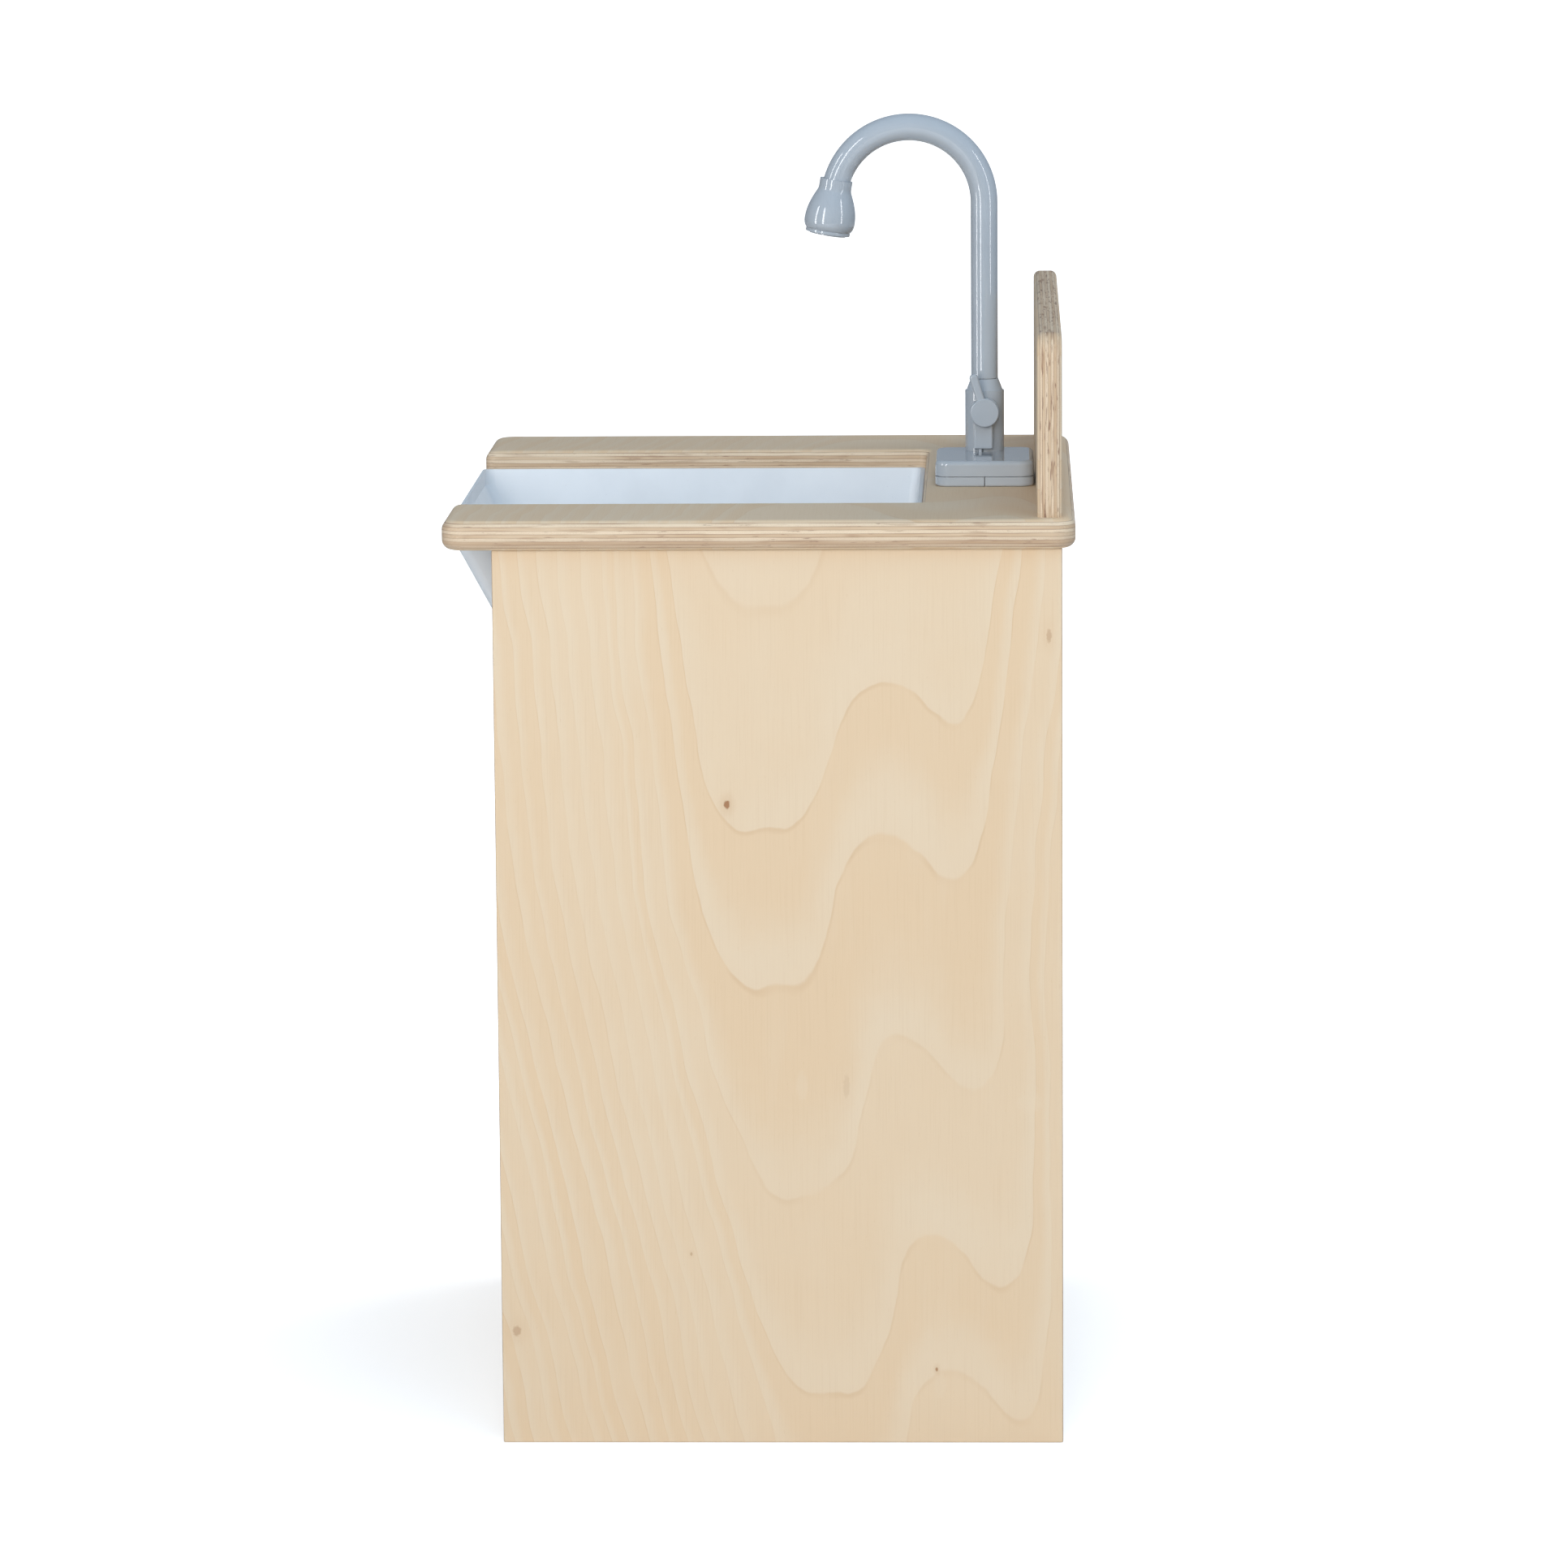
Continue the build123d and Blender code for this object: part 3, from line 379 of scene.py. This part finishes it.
def build_straight_group():
    """Solid wood sawn along the grain: narrow growth lines that waver slowly, with short pores."""
    tree, get, give = group("Straight grain", [
        ("Point", VECTOR, None), ("Light", COLOUR, None), ("Dark", COLOUR, None), ("Pitch", FLOAT, 2.6)],
        [("Color", COLOUR, None), ("Height", FLOAT, None)])
    across, along, depth = tree.parts(get["Point"])
    point = (across, along, depth)
    bend = tree.times(tree.stretched(point, (30, 160, 30)), 16.0)
    ring = tree.math("DIVIDE", tree.add(tree.add(across, tree.times(depth, 0.45)), bend), get["Pitch"])
    part = tree.math("FRACT", ring)
    late = tree.times(tree.math("POWER", part, 2.6), tree.rise(part, 1.0, 0.93))
    late = tree.times(late, tree.add(tree.times(tree.random(tree.math("FLOOR", ring)), 0.7), 0.3))
    pore = tree.stretched(point, (PORE, 14, PORE))
    base = tree.mix(late, get["Light"], get["Dark"])
    base = tree.mix(tree.rise(pore, 0.6, 0.8, 0.0, 0.3), base, get["Dark"])
    tree.feed(give["Color"], base)
    tree.feed(give["Height"], tree.add(late, pore))


def build_dust_group():
    """Faint handling marks: a slow cloud, fine specks and the small waves of a moulded skin."""
    tree, get, give = group("Handling marks", [
        ("Point", VECTOR, None), ("Cloud", FLOAT, 40.0), ("Speck", FLOAT, 1.2)],
        [("Cloud", FLOAT, None), ("Specks", FLOAT, None), ("Peel", FLOAT, None)])
    point = get["Point"]
    cloud = tree.noise(point, tree.math("DIVIDE", 1.0, get["Cloud"]), 3.0, 0.6)
    specks = tree.rise(tree.noise(point, tree.math("DIVIDE", 1.0, get["Speck"]), 1.0), 0.74, 0.84)
    peel = tree.noise(point, 0.55, 1.0)
    tree.feed(give["Cloud"], cloud)
    tree.feed(give["Specks"], specks)
    tree.feed(give["Peel"], peel)


# ---- materials ----
LACQUER_SPREAD = 0.14       # roughness between the smoothest and the roughest grain
LACQUER_GLOSS = 0.35
PINE = ((0.68, 0.50, 0.30), (0.48, 0.29, 0.14))
PINE_RING = 2.8             # millimetres from one growth ring to the next
BEECH = ((0.55, 0.35, 0.20), (0.42, 0.24, 0.12))
BEECH_RING = 1.1
ZINC = (0.62, 0.62, 0.60)
SPRING_STEEL = (0.45, 0.45, 0.47)
RUBBER = (0.02, 0.02, 0.02)


def dimmed(base, factor):
    return tuple(factor * part for part in base)


def new_material(name):
    material = bpy.data.materials.new(name)
    material.use_nodes = True
    tree = Tree(material.node_tree)
    shader = material.node_tree.nodes["Principled BSDF"]
    return material, tree, shader


def board_point(tree, origin, axes):
    """Millimetres from a point, in the order across the grain, along it and through the depth."""
    place = tree.node("ShaderNodeTexCoord").outputs["Object"]
    moved = tree.node("ShaderNodeMapping", [
        ("Vector", place), ("Location", tuple(-value / MILLI for value in origin)),
        ("Scale", (1 / MILLI, 1 / MILLI, 1 / MILLI))]).outputs[0]
    sockets = tree.parts(moved)
    return tree.vector(*(sockets[AXES.index(axis)] for axis in axes))


def bump(tree, shader, height, strength, distance):
    """Bump as deep as a distance in metres."""
    made = tree.node("ShaderNodeBump", [("Strength", strength), ("Distance", distance), ("Height", height)])
    tree.feed(shader.inputs["Normal"], made.outputs[0])


def plywood(node, axes, plies, seed, foot=0.0, shift=0.0, flip=False, knots=1.0, veneer=1.0, stain=0.25,
            painted_underside_shade=0.0):
    """Lacquered plywood. Axes are named in the order across the grain, along it and through the board.

    The figure starts at the foot, a share of the board's length, and is shifted across the grain in metres.
    Veneer is the face veneer's share of its usual thickness; stain discolours the cut edge, and the last
    argument paints shade on its lower half.
    """
    wood, _, _ = settings()
    low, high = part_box(node)
    origin = [(low[i] + high[i]) / 2 for i in range(3)]
    across, along, depth = (AXES.index(axis) for axis in axes)
    origin[along] = low[along] + (high[along] - low[along]) * foot
    origin[across] += shift
    material, tree, shader = new_material(f"plywood_{node}")
    point = board_point(tree, origin, axes)
    figure_point = point
    if flip:
        mirror = tree.node("ShaderNodeMapping", [("Vector", point), ("Scale", (-1.0, 1.0, 1.0))])
        figure_point = mirror.outputs[0]
    figure = use(tree, "Veneer figure", [
        ("Point", figure_point), ("Light", wood.veneer_light), ("Tan", wood.veneer_tan),
        ("Line", wood.veneer_line), ("Knot", wood.knot), ("Knots", knots)])
    half = (high[depth] - low[depth]) / 2 / MILLI
    edge = use(tree, "Ply edge", [
        ("Point", point), ("Half", half), ("Veneer", wood.veneer_mm * veneer), ("Plies", float(plies)),
        ("Light", wood.ply_light), ("Dark", wood.ply_dark), ("Glue", wood.glue), ("Seed", seed),
        ("Stain", stain), ("Painted underside shade", painted_underside_shade)])
    tree.feed(shader.inputs["Base Color"], tree.mix(edge["Face"], edge["Color"], figure["Color"]))
    height = tree.between(edge["Height"], figure["Height"], edge["Face"])
    smoothest = wood.lacquer_roughness - LACQUER_SPREAD / 2
    tree.feed(shader.inputs["Roughness"], tree.add(tree.times(height, LACQUER_SPREAD), smoothest))
    shader.inputs["Specular IOR Level"].default_value = LACQUER_GLOSS
    bump(tree, shader, height, 0.25, 0.15 * MILLI)
    return material


def solid_wood(name, colours, ring, axes):
    """Planed wood, from its light and dark colours and the width of a growth ring."""
    material, tree, shader = new_material(name)
    light, dark = colours
    point = board_point(tree, (0.0, 0.0, 0.0), axes)
    grain = use(tree, "Straight grain", [
        ("Point", point), ("Light", light), ("Dark", dark), ("Pitch", ring)])
    tree.feed(shader.inputs["Base Color"], grain["Color"])
    tree.feed(shader.inputs["Roughness"], tree.rise(grain["Height"], 0.0, 2.0, 0.55, 0.7))
    bump(tree, shader, grain["Height"], 0.2, 0.2 * MILLI)
    return material


def plastic(name, base, roughness, peel, coat=0.0):
    """Moulded plastic: a colour that hardly clouds, fine specks and a waved skin as deep as its peel."""
    material, tree, shader = new_material(name)
    point = board_point(tree, (0.0, 0.0, 0.0), AXES)
    marks = use(tree, "Handling marks", [("Point", point)])
    tone = tree.mix(tree.rise(marks["Cloud"], 0.3, 0.75, 0.0, 0.5), base, dimmed(base, 0.9))
    tone = tree.mix(tree.times(marks["Specks"], 0.25), tone, dimmed(base, 0.6))
    tree.feed(shader.inputs["Base Color"], tone)
    worn = tree.rise(marks["Cloud"], 0.2, 0.8, roughness * 0.85, roughness * 1.2)
    tree.feed(shader.inputs["Roughness"], worn)
    shader.inputs["Coat Weight"].default_value = coat
    shader.inputs["Coat Roughness"].default_value = 0.05
    bump(tree, shader, marks["Peel"], peel, 0.1 * MILLI)
    return material


def metal(name, base, roughness):
    """Plated steel with fine turned lines."""
    material, tree, shader = new_material(name)
    point = board_point(tree, (0.0, 0.0, 0.0), AXES)
    scratch = tree.noise(point, 3.0, 3.0, 0.7, 0.6)
    tone = tree.mix(tree.rise(scratch, 0.4, 0.8, 0.0, 0.4), base, dimmed(base, 0.7))
    tree.feed(shader.inputs["Base Color"], tone)
    worn = tree.rise(scratch, 0.2, 0.8, roughness * 0.8, roughness * 1.3)
    tree.feed(shader.inputs["Roughness"], worn)
    shader.inputs["Metallic"].default_value = 1.0
    bump(tree, shader, scratch, 0.1, 0.05 * MILLI)
    return material


def dress(nodes, material):
    """Gives CAD nodes one material."""
    for name in nodes:
        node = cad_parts[name]
        if not node.material_slots:
            node.data.materials.append(material)
        for place in node.material_slots:
            place.material = material


# ---- operators ----
class KitchenStep(bpy.types.Operator):
    """Shared options of the kitchen's steps."""
    bl_options = {"REGISTER", "UNDO"}


class KITCHEN_OT_patterns(KitchenStep):
    """Build the wood and plastic patterns that the finishes share"""
    bl_idname = "kitchen.patterns"
    bl_label = "Patterns"

    def execute(self, context):
        build_figure_group()
        build_edge_group()
        build_straight_group()
        build_dust_group()
        return {"FINISHED"}


class KITCHEN_OT_side_panels(KitchenStep):
    """Finish the two side panels"""
    bl_idname = "kitchen.side_panels"
    bl_label = "Side panels"

    def execute(self, context):
        wood, _, _ = settings()
        for node, seed, flip in (("right_side_panel", 3.0, False), ("left_side_panel", 11.0, True)):
            dress([node], plywood(node, "YZX", wood.panel_plies, seed, flip=flip, veneer=0.2))
        return {"FINISHED"}


class KITCHEN_OT_inner_boards(KitchenStep):
    """Finish the back panel, the floor, the shelf and the plinth"""
    bl_idname = "kitchen.inner_boards"
    bl_label = "Inner boards"

    def execute(self, context):
        wood, _, _ = settings()
        for node, axes, plies, seed, foot, shift in (
                ("back_panel", "XZY", wood.back_plies, 21.0, 0.0, 0.03),
                ("floor_panel", "YXZ", wood.panel_plies, 31.0, 0.0, 0.05),
                ("shelf", "YXZ", wood.panel_plies, 41.0, 0.1, -0.04),
                ("plinth", "ZXY", wood.panel_plies, 51.0, 0.0, 0.06)):
            dress([node], plywood(node, axes, plies, seed, foot, shift, knots=0.0))
        return {"FINISHED"}


class KITCHEN_OT_worktop(KitchenStep):
    """Finish the worktop"""
    bl_idname = "kitchen.worktop"
    bl_label = "Worktop"

    def execute(self, context):
        wood, _, _ = settings()
        # the worktop's cut edge gets painted shade on its lower half
        dress(["worktop"], plywood("worktop", "YXZ", wood.worktop_plies, 5.0, shift=0.04, knots=0.0,
                                   stain=0.4, painted_underside_shade=0.45))
        return {"FINISHED"}


class KITCHEN_OT_backsplash(KitchenStep):
    """Finish the backsplash"""
    bl_idname = "kitchen.backsplash"
    bl_label = "Backsplash"

    def execute(self, context):
        wood, _, _ = settings()
        dress(["backsplash"], plywood("backsplash", "ZXY", wood.splash_plies, 8.0, foot=0.1, shift=0.02,
                                      knots=0.0, stain=0.9))
        return {"FINISHED"}


class KITCHEN_OT_battens(KitchenStep):
    """Finish the battens and the dowels"""
    bl_idname = "kitchen.battens"
    bl_label = "Battens and dowels"

    def execute(self, context):
        side = solid_wood("pine_batten_deep", PINE, PINE_RING, "XYZ")
        cross = solid_wood("pine_batten_wide", PINE, PINE_RING, "YXZ")
        dress(["left_top_cleat", "right_top_cleat", "left_basin_runner", "right_basin_runner"], side)
        dress(["rear_top_rail", "rear_basin_runner"], cross)
        dress(["panel_dowels"], solid_wood("beech_dowel", BEECH, BEECH_RING, "YXZ"))
        return {"FINISHED"}


class KITCHEN_OT_basin(KitchenStep):
    """Finish the basin"""
    bl_idname = "kitchen.basin"
    bl_label = "Basin"

    def execute(self, context):
        _, plastics, _ = settings()
        dress(["basin"], plastic("basin_plastic", tuple(plastics.basin), plastics.basin_roughness, peel=0.05))
        return {"FINISHED"}


class KITCHEN_OT_tap(KitchenStep):
    """Finish the tap's base, body, lever, spout and nozzle"""
    bl_idname = "kitchen.tap"
    bl_label = "Tap"

    def execute(self, context):
        _, plastics, _ = settings()
        grey = plastic("tap_plastic", tuple(plastics.tap), plastics.tap_roughness, peel=0.0, coat=0.4)
        dress(["tap_base_front_plate", "tap_base_rear_plate", "tap_base_cover", "tap_body", "tap_body_nut",
               "lever_housing", "lever_arm", "spout_tube", "nozzle_shell", "nozzle_ring"], grey)
        dress(["nozzle_plate"], plastic("outlet_plastic", tuple(plastics.outlet), 0.5, peel=0.05))
        return {"FINISHED"}


class KITCHEN_OT_fasteners(KitchenStep):
    """Finish the screws, cams, pins and seals"""
    bl_idname = "kitchen.fasteners"
    bl_label = "Fasteners"

    def execute(self, context):
        dress(["cam_bolts", "cam_locks", "cleat_screws", "worktop_screws", "runner_screws",
               "backsplash_screws", "back_panel_screws", "tap_base_screws", "base_cover_screws"],
              metal("zinc_plate", ZINC, 0.3))
        dress(["lever_shaft", "spout_clip"], metal("spring_steel", SPRING_STEEL, 0.25))
        dress(["spout_seal", "lever_seal"], plastic("seal_rubber", RUBBER, 0.6, peel=0.1))
        return {"FINISHED"}


class KITCHEN_OT_stage(KitchenStep):
    """Set up the floor, the lights and the camera"""
    bl_idname = "kitchen.stage"
    bl_label = "Stage"

    def execute(self, context):
        _, _, stage = settings()
        make_floor(stage)
        make_sky(stage)
        make_lights(stage)
        make_camera(stage)
        context.scene.view_settings.view_transform = "Standard"
        context.scene.view_settings.look = "None"
        return {"FINISHED"}


# ---- stage ----
WHITE, WARM, WARMER, COOL = (1.0, 1.0, 1.0), (1.0, 0.985, 0.96), (1.0, 0.98, 0.96), (0.48, 0.74, 1.0)
FLOOR_REACH = 40.0          # metres to each side
SHADOW_NEAR = 150.0         # millimetres from the origin to where the floor's shadow starts to fade
SHADOW_FAR = 900.0          # and to where it has gone
FILL_POWER = 45.0
BODY_LEVEL = Vector((0.0, 0.0, 0.45))
TAP_LEVEL = Vector((0.0, 0.09, 1.3))
SENSOR_WIDTH = 36.0         # millimetres
CLIP_END = 200.0            # metres


def make_floor(stage):
    """Wide pale floor that glows to the camera, less near the kitchen so that its shadow shows."""
    mesh = bpy.data.meshes.new("studio_floor")
    corners = [(x * FLOOR_REACH, y * FLOOR_REACH, 0.0) for x, y in ((-1, -1), (1, -1), (1, 1), (-1, 1))]
    mesh.from_pydata(corners, [], [(0, 1, 2, 3)])
    floor = bpy.data.objects.new("studio_floor", mesh)
    bpy.context.scene.collection.objects.link(floor)
    material, tree, shader = new_material("studio_floor")
    point = board_point(tree, (0.0, 0.0, 0.0), AXES)
    base = tuple(stage.floor)
    away = tree.math("SQRT", tree.node("ShaderNodeVectorMath", [(0, point), (1, point)],
                                       operation="DOT_PRODUCT").outputs["Value"])
    cloud = tree.noise(point, 1 / 900, 2.0)
    tree.feed(shader.inputs["Base Color"], tree.mix(tree.times(cloud, 0.3), base, dimmed(base, 0.97)))
    shader.inputs["Roughness"].default_value = 0.9
    shader.inputs["Specular IOR Level"].default_value = 0.0
    seen = tree.node("ShaderNodeLightPath").outputs["Is Camera Ray"]
    glow = tree.rise(away, SHADOW_NEAR, SHADOW_FAR, stage.floor_glow, 1.0)
    tree.feed(shader.inputs["Emission Color"], WHITE)
    tree.feed(shader.inputs["Emission Strength"], tree.between(stage.floor_bounce, glow, seen))
    mesh.materials.append(material)


def make_sky(stage):
    """White to the camera, a dimmer and cooler light to everything else."""
    world = bpy.data.worlds.new("studio")
    bpy.context.scene.world = world
    world.use_nodes = True
    tree = Tree(world.node_tree)
    world.node_tree.nodes.clear()
    light = tree.node("ShaderNodeBackground", [("Color", tuple(stage.sky)), ("Strength", stage.sky_strength)])
    seen = tree.node("ShaderNodeBackground", [("Color", WHITE), ("Strength", 1.0)])
    path = tree.node("ShaderNodeLightPath").outputs["Is Camera Ray"]
    both = tree.node("ShaderNodeMixShader", [(0, path), (1, light.outputs[0]), (2, seen.outputs[0])])
    tree.node("ShaderNodeOutputWorld", [("Surface", both.outputs[0])])


def make_lights(stage):
    """Soft lights for the colours, and upright windows that show only as highlights on the tap."""
    for name, place, target, size, power, tint in (
            ("key", (3.8, -0.75, 1.55), BODY_LEVEL, (2.4, 2.0), stage.key_power, WARM),
            ("overhead", (1.2, 0.5, 2.3), BODY_LEVEL, (1.4, 1.4), stage.overhead_power, COOL),
            ("fill_rear", (-1.6, 2.9, 3.1), BODY_LEVEL, (2.5, 2.0), FILL_POWER, WARMER),
            ("window_main", (2.77, -1.5, 1.3), TAP_LEVEL, (0.4, 2.4), 30.0, WHITE),
            ("window_side", (1.2, -2.65, 1.3), TAP_LEVEL, (0.35, 2.4), 26.0, WHITE),
            ("window_right", (1.7, 2.55, 1.3), TAP_LEVEL, (0.22, 2.4), 17.0, WHITE)):
        data = bpy.data.lights.new(name, "AREA")
        data.shape = "RECTANGLE"
        data.size, data.size_y = size
        data.energy = power
        data.color = tint
        light = bpy.data.objects.new(name, data)
        light.location = place
        light.rotation_euler = (target - Vector(place)).to_track_quat("-Z", "Y").to_euler()
        light.visible_camera = False
        light.visible_glossy = name.startswith("window")
        light.visible_diffuse = not light.visible_glossy
        bpy.context.scene.collection.objects.link(light)


def make_camera(stage):
    """Camera that faces the right side panel."""
    flat = cos(stage.pitch)
    forward = Vector((-flat * cos(stage.yaw), flat * sin(stage.yaw), -sin(stage.pitch)))
    level = Vector((sin(stage.yaw), cos(stage.yaw), 0.0))
    above = level.cross(forward)
    right = level * cos(stage.roll) + above * sin(stage.roll)
    up = above * cos(stage.roll) - level * sin(stage.roll)
    data = bpy.data.cameras.new("camera")
    data.lens = stage.lens
    data.sensor_width = SENSOR_WIDTH
    data.clip_end = CLIP_END
    camera = bpy.data.objects.new("camera", data)
    turn = Matrix((right, up, -forward)).transposed().to_4x4()
    camera.matrix_world = Matrix.Translation(Vector(stage.camera)) @ turn
    bpy.context.scene.collection.objects.link(camera)
    bpy.context.scene.camera = camera


# ---- panel and registration ----
STEPS = (KITCHEN_OT_patterns, KITCHEN_OT_side_panels, KITCHEN_OT_inner_boards, KITCHEN_OT_worktop,
         KITCHEN_OT_backsplash, KITCHEN_OT_battens, KITCHEN_OT_basin, KITCHEN_OT_tap, KITCHEN_OT_fasteners,
         KITCHEN_OT_stage)


class KITCHEN_PT_panel(bpy.types.Panel):
    """Lists the kitchen's steps and settings"""
    bl_idname = "KITCHEN_PT_panel"
    bl_label = "Play kitchen"
    bl_space_type = "VIEW_3D"
    bl_region_type = "UI"
    bl_category = "Kitchen"

    def draw(self, context):
        for step in STEPS:
            self.layout.operator(step.bl_idname)
        for group_of in settings():
            box = self.layout.box()
            for name in group_of.bl_rna.properties.keys():
                if name not in {"rna_type", "name"}:
                    box.prop(group_of, name)


GROUPS = (("kitchen_plywood", PlywoodSettings), ("kitchen_plastic", PlasticSettings),
          ("kitchen_stage", StageSettings))


def register():
    for name, cls in GROUPS:
        bpy.utils.register_class(cls)
        setattr(bpy.types.Scene, name, PointerProperty(type=cls))
    for cls in (*STEPS, KITCHEN_PT_panel):
        bpy.utils.register_class(cls)


def unregister():
    for cls in reversed((*STEPS, KITCHEN_PT_panel)):
        bpy.utils.unregister_class(cls)
    for name, cls in reversed(GROUPS):
        delattr(bpy.types.Scene, name)
        bpy.utils.unregister_class(cls)


def main():
    register()
    for step in STEPS:
        family, action = step.bl_idname.split(".")
        getattr(getattr(bpy.ops, family), action)()


if __name__ == "__main__":
    main()
